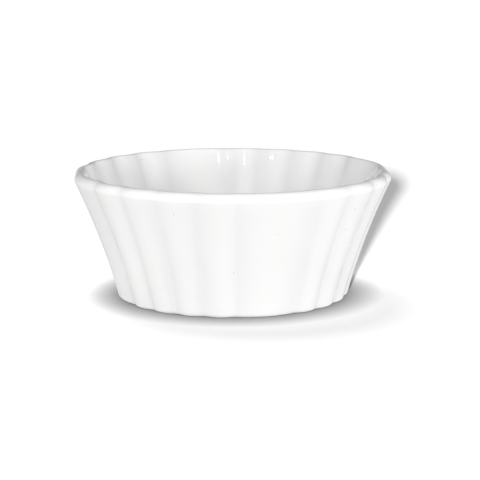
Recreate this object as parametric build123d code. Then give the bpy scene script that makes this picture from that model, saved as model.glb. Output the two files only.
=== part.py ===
from build123d import *
import os
from math import cos, pi, sin, sqrt

# Fluted ramekin in glazed porcelain: one moulded piece, a flared cup with a scalloped wall.
# Origin at the centre of the flat that it stands on, +Z up, lengths in millimetres.
# Four wide plain panels face -Y, +X, +Y and -X, with narrow petals between them.

# Wall, as the outline of its petals before the lip and the base corner are rounded
height = 39.5
rim_radius = 50.9  # petal crests in the plane of the rim
base_radius = 36.3  # petal crests in the plane of the table
wall_bow = 1.1  # how far the wall sags inward at mid-height from a straight taper
wall_thickness = 3.6
floor_thickness = 4.4

# Flutes: convex petals outside, parted by soft grooves that open out towards the rim
flute_pitches = 24
rim_groove_depth = 0.7
base_groove_depth = 0.95
rim_groove_radius = 8.0
base_groove_radius = 3.0
base_relief_share = 0.5  # depth of the ridges inside, as a share of the grooves outside
rim_relief_share = 1.3

# Roundings
outer_lip_share = 0.58  # of the wall thickness
inner_lip_share = 0.25
base_corner_radius = 1.3
floor_corner_radius = 4.0
floor_corner_limit_share = 0.5  # of the hollow petal radius, so that the corner follows each petal

# Foot: a flat ring round a shallow recess
foot_ring_width = 5.5  # where the ring is narrowest, at the valleys
recess_depth = 0.9
recess_edge_radius = 0.4

# Reach of a cutting shape past the face that it goes through
overrun = 2.0

# Heights of the sections that the wall is lofted through, as shares of the height
section_shares = (0.0, 0.35, 0.7, 1.0)

pitch = 2 * pi / flute_pitches
recess_radius = base_radius - base_groove_depth - base_corner_radius - foot_ring_width


def wall_radius(z):
    """Radius of the petal crests at a height: a straight taper less a parabolic sag."""
    t = z / height
    return base_radius + (rim_radius - base_radius) * t - wall_bow * 4 * t * (1 - t)


def wall_slope(z):
    """How much the wall opens out per unit of height."""
    t = z / height
    return (rim_radius - base_radius - wall_bow * 4 * (1 - 2 * t)) / height


def between(low, high, z):
    """A size that changes evenly from the base to the rim."""
    return low + (high - low) * z / height


def polar(radius, angle):
    """A point in plan, with its angle counted from -Y towards +X."""
    return Vector(radius * sin(angle), -radius * cos(angle))


def level_inset(z):
    """The wall thickness measured level, across the lean of the wall."""
    return wall_thickness * sqrt(1 + wall_slope(z) ** 2)


def outline_sizes(z, inner):
    """Crest circle, valley circle and groove radius at a height, outside or inside the wall."""
    inset = level_inset(z) if inner else 0
    relief = between(base_relief_share, rim_relief_share, z) if inner else 1
    crest = wall_radius(z) - inset
    valley = crest - between(base_groove_depth, rim_groove_depth, z) * relief
    return crest, valley, between(base_groove_radius, rim_groove_radius, z) + inset


def petal_radius(crest, valley, groove_radius, half_angle):
    """Radius of the arc that peaks on the crest circle and runs smoothly into both grooves."""
    groove_centre = valley + groove_radius
    across = groove_centre * cos(half_angle)
    squares = groove_centre**2 + crest**2 - groove_radius**2
    return (squares - 2 * across * crest) / (2 * (crest + groove_radius - across))


def fluted_section(z, inner=False):
    """Face of the outline at a height, outside or inside the wall."""
    crest, valley, groove_radius = outline_sizes(z, inner)

    def petal_ends(start, end):
        """Where the petal between two grooves meets each of them."""
        radius = petal_radius(crest, valley, groove_radius, (end - start) / 2)
        centre = polar(crest - radius, (start + end) / 2)
        share = radius / (radius + groove_radius)
        grooves = [polar(valley + groove_radius, angle) for angle in (start, end)]
        return [centre + (groove - centre) * share for groove in grooves]

    # The groove in the middle of each quarter is left out, so two petals there are one wide panel.
    quarter = flute_pitches // 4
    grooves = [pitch * k for k in range(flute_pitches) if k % quarter]
    spans = list(zip(grooves, grooves[1:])) + [(grooves[-1], grooves[0] + 2 * pi)]
    ends = [petal_ends(start, end) for start, end in spans]

    edges = []
    for k, (start, end) in enumerate(spans):
        petal_start, petal_end = ends[k]
        next_start = ends[(k + 1) % len(ends)][0]
        edges.append(ThreePointArc(petal_start, polar(crest, (start + end) / 2), petal_end))
        edges.append(ThreePointArc(petal_end, polar(valley, end), next_start))
    return Pos(0, 0, z) * make_face(Wire(edges))


def flat_face(body, z):
    """The level face of a body at a height."""
    return body.faces().filter_by(Axis.Z).sort_by(lambda face: abs(face.center().Z - z))[0]


def make_wall():
    """The lofted cup with its hollow, all edges sharp."""
    outer = loft([fluted_section(height * share) for share in section_shares])
    hollow_height = height + overrun - floor_thickness
    levels = [floor_thickness + hollow_height * share for share in section_shares]
    return outer - loft([fluted_section(z, inner=True) for z in levels])


def round_edges(dish):
    """Rounds the lip on both sides, the corner of the floor and the corner of the foot."""
    lip = flat_face(dish, height)
    dish = fillet(lip.outer_wire().edges(), wall_thickness * outer_lip_share)
    lip = flat_face(dish, height)
    dish = fillet(lip.inner_wires()[0].edges(), wall_thickness * inner_lip_share)
    petal = petal_radius(*outline_sizes(floor_thickness, inner=True), pitch / 2)
    floor_corner = min(floor_corner_radius, petal * floor_corner_limit_share)
    dish = fillet(flat_face(dish, floor_thickness).edges(), floor_corner)
    return fillet(flat_face(dish, 0).edges(), base_corner_radius)


def cut_recess(dish):
    """Hollows the underside inside the foot ring, with both edges of the recess rounded."""
    recess = Pos(0, 0, (recess_depth - overrun) / 2) * Cylinder(recess_radius, recess_depth + overrun)
    dish -= fillet(recess.edges().group_by(Axis.Z)[-1], recess_edge_radius)
    mouth = dish.edges().filter_by(GeomType.CIRCLE).group_by(Axis.Z)[0]
    return fillet(mouth, recess_edge_radius)


def save(shape, name):
    """Write one node."""
    os.makedirs("parts", exist_ok=True)
    export_step(shape, f"parts/{name}.step")


save(cut_recess(round_edges(make_wall())), "dish")
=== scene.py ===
from collections import namedtuple
from math import atan, atan2, cos, pi, radians, sin, sqrt

import bmesh
import bpy
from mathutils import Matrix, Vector


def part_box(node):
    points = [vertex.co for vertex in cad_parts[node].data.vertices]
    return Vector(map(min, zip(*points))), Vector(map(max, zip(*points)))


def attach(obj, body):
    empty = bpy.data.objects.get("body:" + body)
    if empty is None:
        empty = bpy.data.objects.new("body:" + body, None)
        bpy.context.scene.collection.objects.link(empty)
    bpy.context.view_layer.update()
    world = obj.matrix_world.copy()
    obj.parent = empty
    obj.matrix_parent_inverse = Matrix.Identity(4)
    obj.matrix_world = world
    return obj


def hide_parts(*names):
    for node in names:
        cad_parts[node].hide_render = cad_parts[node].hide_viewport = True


# Fluted ramekin in white glazed porcelain, with its studio. Lengths are in metres.
# The cup stands on its foot at the origin and one of its four wide plain panels faces -Y.

bl_info = {
    "name": "Fluted Ramekin",
    "version": (1, 0, 0),
    "blender": (4, 5, 0),
    "location": "3D View > Sidebar > Ramekin",
    "description": "Models a fluted porcelain ramekin, its glaze and a plain studio",
    "category": "Object",
}

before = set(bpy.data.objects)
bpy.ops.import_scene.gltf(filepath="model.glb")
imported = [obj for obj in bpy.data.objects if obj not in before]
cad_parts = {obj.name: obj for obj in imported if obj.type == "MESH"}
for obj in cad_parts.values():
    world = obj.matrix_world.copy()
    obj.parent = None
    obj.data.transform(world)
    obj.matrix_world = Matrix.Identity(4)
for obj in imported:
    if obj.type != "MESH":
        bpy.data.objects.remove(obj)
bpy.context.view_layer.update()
DISH_LOW, DISH_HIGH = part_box("dish")
HEIGHT = DISH_HIGH.z - DISH_LOW.z
CUP_MIDDLE = Vector((0, 0, HEIGHT / 2))

BODY = "root"
NODE = "dish"

# Fineness of the mesh
STEPS_PER_PITCH = 28
WALL_STEPS = 16
OUTER_LIP_STEPS = 14
INNER_LIP_STEPS = 8
BASE_CORNER_STEPS = 8
FLOOR_CORNER_STEPS = 10
RECESS_EDGE_STEPS = 4
GROOVE_CROWDING = 0.22  # spacing of the columns at a groove, as a share of even spacing
MERGE_DISTANCE = 1e-7

# Rings on the flat faces, as shares of the way across them
RECESS_SHARES = (0, 0.3, 0.65, 0.9)  # from the axis outwards
FOOT_SHARES = (0.35, 0.7)  # from the recess outwards
FLOOR_SHARES = (0.15, 0.4, 0.7, 1)  # from the floor corner to the axis

# Glaze: patterns scaled per metre, bumps as strength and height
GLAZE_IOR = 1.5
GROOVE_SHADE = 0.8  # how grey the glaze is in the grooves outside
RIDGE_SHADE = 1.7  # and along the ridges inside, as painted shade
FLOOR_FADE = 4  # how fast that grey ends on the floor
CLOUD_SCALE, CLOUD_DETAIL = 60, 3
GLOSS_SHARES = (0.6, 1.4)  # of the gloss roughness, at the clouds' two ends
SPECK_CORE_SHARE = 0.6  # of a speck's radius, in its full colour
RIPPLE_SCALE, RIPPLE_DETAIL = 140, 2
RIPPLE_BUMP = (0.018, 0.0004)

# Bare foot ring
GRAIN_SCALE, GRAIN_DETAIL = 2600, 4
GRAIN_SHADE = 0.86  # of the bare colour, in the darkest grains
GRAIN_BUMP = (0.4, 0.0001)
BARE_ROUGHNESS = (0.78, 0.92)

# Studio floor: greys of the paper as it shows, of its painted shadow close to the foot, and of the paper
# as it lights the cup
FLOOR_REACH = 8  # from the middle to an edge
PAPER_SHOWN = 0.8
PAINTED_SHADOW_AT_FOOT = 0.1
PAPER_THROWN = 0.515
PAINTED_SHADOW_REACH = 0.0118
PAINTED_SHADOW_POWER = 1.5

# Studio air: how strongly it lights the cup, and how bright it is in the glaze
AIR_LEVEL = 0.12
AIR_MIRRORED = 0.3

# Lamps of the cup: name, degrees to the right of the camera, degrees up, and watts
SOFT_BOXES = (
    ("high_front_box", 0, 45, 3.7),
    ("left_box", -50, 24, 3.7),
    ("right_box", 50, 24, 2.7),
    ("low_left_box", -75, 5, 1.6),
    ("low_right_box", 75, 5, 4.5),
    ("low_front_left_box", -25, 6, 1.2),
    ("low_front_right_box", 25, 6, 1.4),
)
GLINT_STRIP = ("glint_strip", -3, 43.5, 0.35)
SOFT_BOX_SIZE = (0.35, 0.28)
GLINT_STRIP_SIZE = (0.012, 0.055)
LAMP_DISTANCE = 1.1

# Lamps of the floor: name, degrees to the right, degrees up, strength, and the degrees it spans.
# The one beside the camera makes the shadow hug the right flank, and the one behind to the left
# brings it forward under the foot.
FLOOR_SUNS = (
    ("flank_sun", -6.7, 9.6, 14.2, 2),
    ("foot_sun", -154, 64, 1.45, 28),
)

SENSOR_WIDTH = 36  # millimetres
CLIP_START = 0.01


class RamekinShape(bpy.types.PropertyGroup):
    """Sizes of the cup before its lip and corners are rounded."""

    rim_radius: bpy.props.FloatProperty(
        name="Rim radius", description="Petal crests in the plane of the rim",
        default=0.0509, unit="LENGTH")
    base_radius: bpy.props.FloatProperty(
        name="Base radius", description="Petal crests in the plane of the table",
        default=0.0363, unit="LENGTH")
    wall_bow: bpy.props.FloatProperty(
        name="Wall bow", description="How far the wall sags inward at mid-height",
        default=0.0011, unit="LENGTH")
    wall_thickness: bpy.props.FloatProperty(
        name="Wall thickness", description="Square to the wall",
        default=0.0036, unit="LENGTH")
    floor_thickness: bpy.props.FloatProperty(
        name="Floor thickness", description="From the table to the inside of the cup",
        default=0.0044, unit="LENGTH")
    flute_pitches: bpy.props.IntProperty(
        name="Flute pitches", description="Pitches round the wall, a multiple of four",
        default=24, min=8)
    rim_groove_depth: bpy.props.FloatProperty(
        name="Groove depth at the rim", description="From the petal crests to the valleys",
        default=0.0007, unit="LENGTH")
    base_groove_depth: bpy.props.FloatProperty(
        name="Groove depth at the base", description="From the petal crests to the valleys",
        default=0.00095, unit="LENGTH")
    rim_groove_radius: bpy.props.FloatProperty(
        name="Groove radius at the rim", description="Rounding of the valley",
        default=0.008, unit="LENGTH")
    base_groove_radius: bpy.props.FloatProperty(
        name="Groove radius at the base", description="Rounding of the valley",
        default=0.003, unit="LENGTH")
    outer_lip_radius: bpy.props.FloatProperty(
        name="Outer lip", description="Rounding of the lip on its outer side",
        default=0.0021, unit="LENGTH")
    inner_lip_radius: bpy.props.FloatProperty(
        name="Inner lip", description="Rounding of the lip on its inner side",
        default=0.0009, unit="LENGTH")
    rim_relief: bpy.props.FloatProperty(
        name="Relief at the rim", description="Ridges inside, as a share of the grooves outside",
        default=1.3, min=0, soft_max=2, subtype="FACTOR")
    base_relief: bpy.props.FloatProperty(
        name="Relief at the base", description="Ridges inside, as a share of the grooves outside",
        default=0.5, min=0, soft_max=2, subtype="FACTOR")
    base_corner_radius: bpy.props.FloatProperty(
        name="Base corner", description="Rounding between the wall and the foot",
        default=0.0013, unit="LENGTH")
    floor_corner_radius: bpy.props.FloatProperty(
        name="Floor corner", description="Rounding between the inner wall and the floor",
        default=0.004, unit="LENGTH")
    foot_ring_width: bpy.props.FloatProperty(
        name="Foot ring", description="Width of the ring where it is narrowest, at the valleys",
        default=0.0055, unit="LENGTH")
    recess_depth: bpy.props.FloatProperty(
        name="Recess depth", description="The shallow recess inside the foot ring",
        default=0.0009, unit="LENGTH")
    recess_edge_radius: bpy.props.FloatProperty(
        name="Recess edge", description="Roundings of the recess",
        default=0.0004, unit="LENGTH")


class RamekinGlaze(bpy.types.PropertyGroup):
    """Colours and gloss of the porcelain."""

    glaze_colour: bpy.props.FloatVectorProperty(
        name="Glaze", description="White of the glazed porcelain",
        default=(0.90, 0.90, 0.895), subtype="COLOR", size=3)
    # Greyer glaze in the outer grooves, and painted shade along the inner ridges
    flute_grey_and_ridge_shade: bpy.props.FloatVectorProperty(
        name="Grey of the flutes", description="Grey that the white leans to in grooves and along ridges",
        default=(0.82, 0.825, 0.825), subtype="COLOR", size=3)
    bisque_colour: bpy.props.FloatVectorProperty(
        name="Bare foot", description="Unglazed porcelain of the foot ring",
        default=(0.80, 0.785, 0.76), subtype="COLOR", size=3)
    speck_colour: bpy.props.FloatVectorProperty(
        name="Specks", description="Tiny iron specks in the glaze",
        default=(0.34, 0.32, 0.30), subtype="COLOR", size=3)
    speck_size: bpy.props.FloatProperty(
        name="Speck size", description="Width of the largest specks",
        default=0.00034, unit="LENGTH")
    speck_spacing: bpy.props.FloatProperty(
        name="Speck spacing", description="Between the points that specks are taken from",
        default=0.0042, unit="LENGTH")
    gloss_roughness: bpy.props.FloatProperty(
        name="Gloss roughness", description="Roughness of the clear glaze",
        default=0.045, min=0, max=1, subtype="FACTOR")


class RamekinStudio(bpy.types.PropertyGroup):
    """Where the camera stands and what it aims at."""

    camera_distance: bpy.props.FloatProperty(
        name="Camera distance", description="From the middle of the cup",
        default=0.5689, unit="LENGTH")
    camera_azimuth: bpy.props.FloatProperty(
        name="Camera azimuth", description="From -Y towards +X, round the cup",
        default=radians(-16.45), subtype="ANGLE")
    camera_elevation: bpy.props.FloatProperty(
        name="Camera elevation", description="Above the middle of the cup",
        default=radians(10.556), subtype="ANGLE")
    aim_right: bpy.props.FloatProperty(
        name="Aim to the right", description="From the middle of the cup, as the camera sees it",
        default=0.002386, unit="LENGTH")
    aim_down: bpy.props.FloatProperty(
        name="Aim downwards", description="From the middle of the cup, as the camera sees it",
        default=0.002886, unit="LENGTH")
    focal_length: bpy.props.FloatProperty(
        name="Focal length", description="In millimetres, on a sensor 36 mm wide",
        default=135.2)


# A ring of the cup's section. It follows the wall's outline at a level, moved inward by the inset and
# with a share of the relief. Roundness turns it into a plain circle of the radius.
Ring = namedtuple("Ring", "height level inset relief roundness radius", defaults=(0, 0))


def circle(height, radius):
    """A ring without flutes."""
    return Ring(height, 0, 0, 0, 1, radius)


class Flutes:
    """Where the wall's outline runs at every height."""

    def __init__(self, shape):
        self.shape = shape
        self.pitch = 2 * pi / shape.flute_pitches

    def crest(self, level):
        """Radius of the petal crests: a straight taper less a parabolic sag."""
        t = level / HEIGHT
        s = self.shape
        return s.base_radius + (s.rim_radius - s.base_radius) * t - s.wall_bow * 4 * t * (1 - t)

    def lean(self, level):
        """Angle between the wall and the vertical."""
        t = level / HEIGHT
        s = self.shape
        return atan((s.rim_radius - s.base_radius - s.wall_bow * 4 * (1 - 2 * t)) / HEIGHT)

    def inner_relief(self, level):
        """Share of the outer relief that shows inside."""
        s = self.shape
        return s.base_relief + (s.rim_relief - s.base_relief) * level / HEIGHT

    def radius(self, ring, angle):
        """Distance from the axis to the outline of a ring: petal arcs that run into groove arcs."""
        s, t = self.shape, ring.level / HEIGHT
        crest = self.crest(ring.level) - ring.inset
        depth = (s.base_groove_depth + (s.rim_groove_depth - s.base_groove_depth) * t) * ring.relief
        groove = s.base_groove_radius + (s.rim_groove_radius - s.base_groove_radius) * t + ring.inset
        groove_centre = crest - depth + groove

        # In the middle of each quarter one groove is left out, so the span there is two pitches wide.
        quarter = angle % (pi / 2)
        start = int(quarter / self.pitch)
        last = s.flute_pitches // 4 - 1
        wide = start in (0, last)
        half_span = self.pitch if wide else self.pitch / 2
        middle = (0 if start == 0 else pi / 2) if wide else (start + 0.5) * self.pitch
        off = abs(quarter - middle)

        across = groove_centre * cos(half_span)
        squares = groove_centre**2 + crest**2 - groove**2
        petal = (squares - 2 * across * crest) / (2 * (crest + groove - across))
        centre = crest - petal
        share = petal / (petal + groove)
        meet = atan2(groove_centre * sin(half_span) * share, centre + (across - centre) * share)
        if off <= meet:
            return centre * cos(off) + sqrt(petal**2 - (centre * sin(off)) ** 2)
        off_groove = half_span - off
        reach = sqrt(groove**2 - (groove_centre * sin(off_groove)) ** 2)
        return groove_centre * cos(off_groove) - reach


def fluted_edge(flutes, level, face_inset, radius, angles, reliefs, steps):
    """Rings of a round edge that follows the flutes; angles are counted from straight outwards."""
    centre_inset = face_inset + radius / cos(flutes.lean(level))
    rings = []
    for k in range(steps + 1):
        turn = angles[0] + (angles[1] - angles[0]) * k / steps
        relief = reliefs[0] + (reliefs[1] - reliefs[0]) * k / steps
        rings.append(Ring(level + radius * sin(turn), level, centre_inset - radius * cos(turn), relief))
    return rings


def plain_edge(centre_radius, centre_height, radius, angles, steps):
    """Rings of a round edge on a plain circle."""
    rings = []
    for k in range(steps + 1):
        turn = angles[0] + (angles[1] - angles[0]) * k / steps
        rings.append(circle(centre_height + radius * sin(turn), centre_radius + radius * cos(turn)))
    return rings


def wall_heights(start, end):
    """Heights of the rings between two round edges."""
    return [start + (end - start) * k / WALL_STEPS for k in range(1, WALL_STEPS)]


def cup_rings(flutes):
    """The cup's section as rings, from the middle of the underside round to the middle of the floor,
    with the ring that the bare foot starts at and the one that it ends at."""
    s = flutes.shape
    edge = s.recess_edge_radius
    recess = s.base_radius - s.base_groove_depth - s.base_corner_radius - s.foot_ring_width
    rings = [circle(s.recess_depth, recess * share) for share in RECESS_SHARES]
    rings += plain_edge(recess - edge, s.recess_depth - edge, edge, (pi / 2, 0), RECESS_EDGE_STEPS)
    rings += plain_edge(recess + edge, edge, edge, (pi, 1.5 * pi), RECESS_EDGE_STEPS)
    foot_start = len(rings) - 1

    corner = s.base_corner_radius
    corner_rings = fluted_edge(flutes, corner, 0, corner, (-pi / 2, -flutes.lean(corner)), (1, 1),
                               BASE_CORNER_STEPS)
    first = corner_rings[0]
    rings += [Ring(0, first.level, first.inset, 1, 1 - share, recess + edge) for share in FOOT_SHARES]
    foot_end = len(rings)
    rings += corner_rings

    lip, inner_lip = s.outer_lip_radius, s.inner_lip_radius
    level, inner_level = HEIGHT - lip, HEIGHT - inner_lip
    lean, inner_lean = flutes.lean(level), flutes.lean(inner_level)
    for height in wall_heights(rings[-1].height, level - lip * sin(lean)):
        rings.append(Ring(height, height, 0, 1))
    rim_relief = flutes.inner_relief(inner_level)
    middle_relief = (1 + rim_relief) / 2
    rings += fluted_edge(flutes, level, 0, lip, (-lean, pi / 2), (1, middle_relief), OUTER_LIP_STEPS)
    face_inset = (s.wall_thickness - 2 * inner_lip) / cos(inner_lean)
    rings += fluted_edge(flutes, inner_level, face_inset, inner_lip, (pi / 2, pi - inner_lean),
                         (middle_relief, rim_relief), INNER_LIP_STEPS)

    hollow = s.floor_corner_radius
    hollow_level = s.floor_thickness + hollow
    hollow_lean = flutes.lean(hollow_level)
    for height in wall_heights(rings[-1].height, hollow_level - hollow * sin(hollow_lean)):
        inset = s.wall_thickness / cos(flutes.lean(height))
        rings.append(Ring(height, height, inset, flutes.inner_relief(height)))
    face_inset = s.wall_thickness / cos(hollow_lean)
    floor_relief = flutes.inner_relief(hollow_level)
    rings += fluted_edge(flutes, hollow_level, face_inset, hollow, (-hollow_lean, -pi / 2),
                         (floor_relief, floor_relief), FLOOR_CORNER_STEPS)

    # The floor's rings turn from fluted to round as they close on the middle.
    last = rings[-1]
    rings += [Ring(last.height, last.level, last.inset, floor_relief, share) for share in FLOOR_SHARES]
    return rings, foot_start, foot_end


def crowd_grooves(turn, pitch):
    """Draws the spun columns towards the grooves, where the wall turns fastest."""
    place = turn / pitch
    nearest = round(place)
    off = place - nearest
    return (nearest + GROOVE_CROWDING * off + (1 - GROOVE_CROWDING) * 4 * off**3) * pitch


def make_dish_mesh(shape):
    """Spins a straight column of rings and shapes every ring to its outline."""
    flutes = Flutes(shape)
    rings, foot_start, foot_end = cup_rings(flutes)
    mesh = bmesh.new()
    column = [mesh.verts.new((1, 0, k)) for k in range(len(rings))]
    edges = [mesh.edges.new(pair) for pair in zip(column, column[1:])]
    bmesh.ops.spin(mesh, geom=column + edges, cent=(0, 0, 0), axis=(0, 0, 1), dvec=(0, 0, 0),
                   angle=2 * pi, steps=STEPS_PER_PITCH * shape.flute_pitches,
                   use_merge=True, use_duplicate=False)
    # The groove attribute holds the grey of the outer grooves and the painted shade along the inner
    # ridges
    groove = mesh.verts.layers.float.new("groove")
    for face in mesh.faces:
        low = min(round(vert.co.z) for vert in face.verts)
        face.material_index = 1 if foot_start <= low < foot_end else 0
        face.smooth = True
    for vert in mesh.verts:
        ring = rings[round(vert.co.z)]
        turn = crowd_grooves(atan2(vert.co.x, -vert.co.y) % (2 * pi), flutes.pitch)
        fluted = flutes.radius(ring, turn) if ring.roundness < 1 else 0
        radius = fluted * (1 - ring.roundness) + ring.radius * ring.roundness
        crest = flutes.crest(ring.level) - ring.inset
        depth = min(1, max(0, (crest - fluted) / shape.rim_groove_depth))
        # Painted shade along the ridges inside, greyer glaze in the grooves outside
        shade = RIDGE_SHADE if ring.inset > shape.wall_thickness / 2 else GROOVE_SHADE
        vert[groove] = shade * depth * (1 - ring.roundness) ** FLOOR_FADE
        vert.co = (radius * sin(turn), -radius * cos(turn), ring.height)
    bmesh.ops.remove_doubles(mesh, verts=mesh.verts, dist=MERGE_DISTANCE)
    bmesh.ops.recalc_face_normals(mesh, faces=mesh.faces)
    return mesh


def new_object(name, mesh):
    """Turns a bmesh into an object in the scene."""
    data = bpy.data.meshes.new(name)
    mesh.to_mesh(data)
    mesh.free()
    piece = bpy.data.objects.new(name, data)
    bpy.context.scene.collection.objects.link(piece)
    return piece


class Finish:
    """A new material, with the few kinds of node that the finishes are made of."""

    def __init__(self, name):
        self.material = bpy.data.materials.new(name)
        self.material.use_nodes = True
        self.nodes, self.links = self.material.node_tree.nodes, self.material.node_tree.links
        self.shader = self.nodes["Principled BSDF"]

    def pattern(self, kind, scale):
        """A pattern node that is fixed to the piece."""
        place = self.nodes.new("ShaderNodeTexCoord")
        pattern = self.nodes.new(kind)
        pattern.inputs["Scale"].default_value = scale
        self.links.new(place.outputs["Object"], pattern.inputs["Vector"])
        return pattern

    def noise(self, scale, detail):
        """Noise from 0 to 1."""
        noise = self.pattern("ShaderNodeTexNoise", scale)
        noise.inputs["Detail"].default_value = detail
        return noise.outputs["Fac"]

    def product(self, first, second):
        """Two values multiplied."""
        times = self.nodes.new("ShaderNodeMath")
        times.operation = "MULTIPLY"
        self.links.new(first, times.inputs[0])
        self.links.new(second, times.inputs[1])
        return times.outputs[0]

    def mix(self, factor, first, second):
        """A colour between two, each given as a colour or as a node's output."""
        mix = self.nodes.new("ShaderNodeMix")
        mix.data_type = "RGBA"
        self.links.new(factor, mix.inputs["Factor"])
        for name, colour in (("A", first), ("B", second)):
            if isinstance(colour, bpy.types.NodeSocket):
                self.links.new(colour, mix.inputs[name])
            else:
                mix.inputs[name].default_value = (*colour, 1)
        return mix.outputs["Result"]

    def spread(self, value, ends):
        """A value from 0 to 1, spread between two others."""
        ramp = self.nodes.new("ShaderNodeMapRange")
        ramp.inputs["To Min"].default_value, ramp.inputs["To Max"].default_value = ends
        self.links.new(value, ramp.inputs["Value"])
        return ramp.outputs["Result"]

    def bump(self, pattern, strength, height):
        """Raises the surface by a pattern."""
        bump = self.nodes.new("ShaderNodeBump")
        bump.inputs["Strength"].default_value = strength
        bump.inputs["Distance"].default_value = height
        self.links.new(pattern, bump.inputs["Height"])
        self.links.new(bump.outputs["Normal"], self.shader.inputs["Normal"])


def glaze_material(glaze):
    """White porcelain under clear gloss glaze, a little greyer in the grooves outside, with painted shade
    along the ridges inside.
    """
    finish = Finish("porcelain_glaze")
    shader = finish.shader
    # The groove attribute: grey in the outer grooves, painted shade along the inner ridges
    groove = finish.nodes.new("ShaderNodeAttribute")
    groove.attribute_name = "groove"
    cloud = finish.noise(CLOUD_SCALE, CLOUD_DETAIL)
    shade = finish.product(groove.outputs["Fac"], cloud)
    white = finish.mix(shade, glaze.glaze_colour, glaze.flute_grey_and_ridge_shade)

    # Specks: the few places where the surface cuts close past a scattered point
    points = finish.pattern("ShaderNodeTexVoronoi", 1 / glaze.speck_spacing)
    radius = glaze.speck_size / 2 / glaze.speck_spacing
    speck = finish.nodes.new("ShaderNodeMapRange")
    speck.inputs["From Min"].default_value = radius
    speck.inputs["From Max"].default_value = radius * SPECK_CORE_SHARE
    finish.links.new(points.outputs["Distance"], speck.inputs["Value"])
    speckled = finish.mix(speck.outputs["Result"], white, glaze.speck_colour)

    finish.links.new(speckled, shader.inputs["Base Color"])
    shader.inputs["IOR"].default_value = GLAZE_IOR
    gloss = finish.spread(cloud, [glaze.gloss_roughness * share for share in GLOSS_SHARES])
    finish.links.new(gloss, shader.inputs["Roughness"])
    finish.bump(finish.noise(RIPPLE_SCALE, RIPPLE_DETAIL), *RIPPLE_BUMP)
    return finish.material


def bisque_material(glaze):
    """Bare fired porcelain of the foot ring: matt and finely grained."""
    finish = Finish("porcelain_bisque")
    grain = finish.noise(GRAIN_SCALE, GRAIN_DETAIL)
    dark = [level * GRAIN_SHADE for level in glaze.bisque_colour]
    finish.links.new(finish.mix(grain, glaze.bisque_colour, dark), finish.shader.inputs["Base Color"])
    finish.links.new(finish.spread(grain, BARE_ROUGHNESS), finish.shader.inputs["Roughness"])
    finish.bump(grain, *GRAIN_BUMP)
    return finish.material


def paper_material():
    """White paper with a painted shadow close to the foot, which throws back less light than it shows."""
    finish = Finish("studio_paper")
    finish.shader.inputs["Roughness"].default_value = 1
    finish.shader.inputs["Specular IOR Level"].default_value = 0
    # Painted shadow: where the cup hides the paper from the open air, the paper darkens as the camera
    # sees it
    occlusion = finish.nodes.new("ShaderNodeAmbientOcclusion")
    occlusion.inputs["Distance"].default_value = PAINTED_SHADOW_REACH
    openness = finish.nodes.new("ShaderNodeMath")
    openness.operation = "POWER"
    openness.inputs[1].default_value = PAINTED_SHADOW_POWER
    finish.links.new(occlusion.outputs["AO"], openness.inputs[0])
    shown = finish.mix(openness.outputs[0], [PAINTED_SHADOW_AT_FOOT] * 3, [PAPER_SHOWN] * 3)
    path = finish.nodes.new("ShaderNodeLightPath")
    paper = finish.mix(path.outputs["Is Camera Ray"], [PAPER_THROWN] * 3, shown)
    finish.links.new(paper, finish.shader.inputs["Base Color"])
    return finish.material


class RAMEKIN_OT_dish(bpy.types.Operator):
    """Model the glazed fluted cup"""

    bl_idname = "ramekin.dish"
    bl_label = "Glazed Dish"

    def execute(self, context):
        shape, glaze = context.scene.ramekin_shape, context.scene.ramekin_glaze
        dish = new_object("glazed_dish", make_dish_mesh(shape))
        dish.data.materials.append(glaze_material(glaze))
        dish.data.materials.append(bisque_material(glaze))
        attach(dish, BODY)
        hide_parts(NODE)
        return {"FINISHED"}


def make_floor():
    """A wide sheet of paper on the table's plane."""
    sheet = bmesh.new()
    bmesh.ops.create_grid(sheet, x_segments=1, y_segments=1, size=FLOOR_REACH)
    floor = new_object("studio_floor", sheet)
    floor.data.materials.append(paper_material())
    return floor


def make_air():
    """Air that is white to the camera, grey in the gloss of the glaze and dim as a light."""
    world = bpy.data.worlds.new("studio_air")
    world.use_nodes = True
    nodes, links = world.node_tree.nodes, world.node_tree.links
    air = nodes["Background"]
    air.inputs["Color"].default_value = (1, 1, 1, 1)
    path = nodes.new("ShaderNodeLightPath")
    mirrored = nodes.new("ShaderNodeMapRange")
    mirrored.inputs["To Min"].default_value = AIR_LEVEL
    mirrored.inputs["To Max"].default_value = AIR_MIRRORED
    links.new(path.outputs["Is Glossy Ray"], mirrored.inputs["Value"])
    level = nodes.new("ShaderNodeMath")
    level.operation = "MAXIMUM"
    links.new(path.outputs["Is Camera Ray"], level.inputs[0])
    links.new(mirrored.outputs["Result"], level.inputs[1])
    links.new(level.outputs[0], air.inputs["Strength"])
    return world


def seen(studio, right, away, up):
    """A place given as the camera sees it: to the right, away from it and up."""
    turn = studio.camera_azimuth
    return Vector((right * cos(turn) - away * sin(turn), right * sin(turn) + away * cos(turn), up))


def towards(studio, azimuth, elevation, distance):
    """A place given by its degrees to the right of the camera and its degrees up."""
    side, rise = radians(azimuth), radians(elevation)
    level = distance * cos(rise)
    return seen(studio, level * sin(side), -level * cos(side), distance * sin(rise))


def receivers(name, piece):
    """What a lamp lights; the rest only casts shadows in its light."""
    group = bpy.data.collections.new(name)
    group.objects.link(piece)
    return group


def add_lamp(name, kind, place, aim, strength, lit):
    """A lamp at a place, facing a point and lighting what it is for, hidden from reflections."""
    lamp = bpy.data.lights.new(name, kind)
    lamp.energy = strength
    holder = bpy.data.objects.new(name, lamp)
    bpy.context.scene.collection.objects.link(holder)
    holder.location = place
    holder.rotation_euler = (aim - place).to_track_quat("-Z", "Y").to_euler()
    holder.visible_glossy = False
    holder.light_linking.receiver_collection = lit
    return holder


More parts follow.
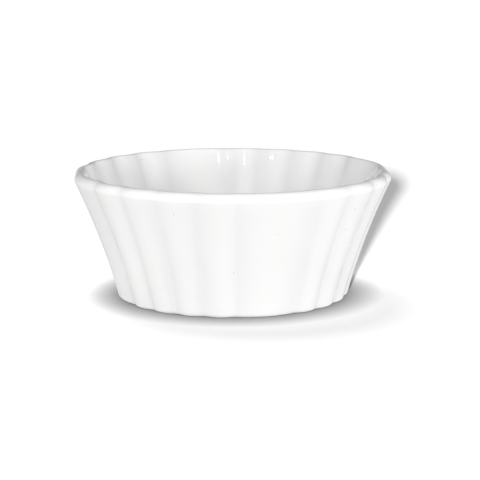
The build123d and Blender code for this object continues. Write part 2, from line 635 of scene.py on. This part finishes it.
def add_soft_box(studio, name, azimuth, elevation, strength, size, lit):
    """A rectangular soft box that faces the cup, its size given as width and length."""
    place = towards(studio, azimuth, elevation, LAMP_DISTANCE)
    holder = add_lamp(name, "AREA", place, CUP_MIDDLE, strength, lit)
    holder.data.shape = "RECTANGLE"
    holder.data.size, holder.data.size_y = size
    return holder


def add_lamps(studio, floor):
    """The cup's soft boxes and the narrow strip that glints inside its rim, then the floor's suns."""
    dish_only = receivers("dish_only", bpy.data.objects["glazed_dish"])
    for box in SOFT_BOXES:
        add_soft_box(studio, *box, SOFT_BOX_SIZE, dish_only)
    add_soft_box(studio, *GLINT_STRIP, GLINT_STRIP_SIZE, dish_only).visible_glossy = True

    floor_only = receivers("floor_only", floor)
    for name, azimuth, elevation, strength, span in FLOOR_SUNS:
        place = towards(studio, azimuth, elevation, 1)
        add_lamp(name, "SUN", place, Vector(), strength, floor_only).data.angle = radians(span)


def add_camera(studio):
    """The camera at the photo's viewing angle."""
    lift = studio.camera_elevation
    place = CUP_MIDDLE + studio.camera_distance * seen(studio, 0, -cos(lift), sin(lift))
    right, up = seen(studio, 1, 0, 0), seen(studio, 0, sin(lift), cos(lift))
    aim = CUP_MIDDLE + right * studio.aim_right - up * studio.aim_down
    camera = bpy.data.objects.new("camera", bpy.data.cameras.new("camera"))
    camera.data.lens = studio.focal_length
    camera.data.sensor_width = SENSOR_WIDTH
    camera.data.clip_start = CLIP_START
    camera.location = place
    camera.rotation_euler = (aim - place).to_track_quat("-Z", "Y").to_euler()
    bpy.context.scene.collection.objects.link(camera)
    return camera


class RAMEKIN_OT_studio(bpy.types.Operator):
    """Lay out the floor, the lamps and the camera"""

    bl_idname = "ramekin.studio"
    bl_label = "Studio"

    def execute(self, context):
        scene = context.scene
        floor = make_floor()
        scene.world = make_air()
        add_lamps(scene.ramekin_studio, floor)
        scene.camera = add_camera(scene.ramekin_studio)
        scene.view_settings.view_transform = "Standard"
        return {"FINISHED"}


class RAMEKIN_PT_panel(bpy.types.Panel):
    """Sizes, finish and studio of the ramekin"""

    bl_idname = "RAMEKIN_PT_panel"
    bl_label = "Fluted Ramekin"
    bl_space_type = "VIEW_3D"
    bl_region_type = "UI"
    bl_category = "Ramekin"

    def draw(self, context):
        scene = context.scene
        for title, group, operator in (
            ("Shape", scene.ramekin_shape, "ramekin.dish"),
            ("Glaze", scene.ramekin_glaze, None),
            ("Studio", scene.ramekin_studio, "ramekin.studio"),
        ):
            box = self.layout.box()
            box.label(text=title)
            for name in group.__annotations__:
                box.prop(group, name)
            if operator:
                box.operator(operator)


CLASSES = (
    RamekinShape, RamekinGlaze, RamekinStudio,
    RAMEKIN_OT_dish, RAMEKIN_OT_studio, RAMEKIN_PT_panel,
)


def register():
    """Make the properties, operators and panel known to Blender."""
    for cls in CLASSES:
        bpy.utils.register_class(cls)
    bpy.types.Scene.ramekin_shape = bpy.props.PointerProperty(type=RamekinShape)
    bpy.types.Scene.ramekin_glaze = bpy.props.PointerProperty(type=RamekinGlaze)
    bpy.types.Scene.ramekin_studio = bpy.props.PointerProperty(type=RamekinStudio)


def unregister():
    """Take them away again."""
    del bpy.types.Scene.ramekin_studio
    del bpy.types.Scene.ramekin_glaze
    del bpy.types.Scene.ramekin_shape
    for cls in reversed(CLASSES):
        bpy.utils.unregister_class(cls)


def main():
    """Build the cup and its studio."""
    register()
    bpy.ops.ramekin.dish()
    bpy.ops.ramekin.studio()


if __name__ == "__main__":
    main()
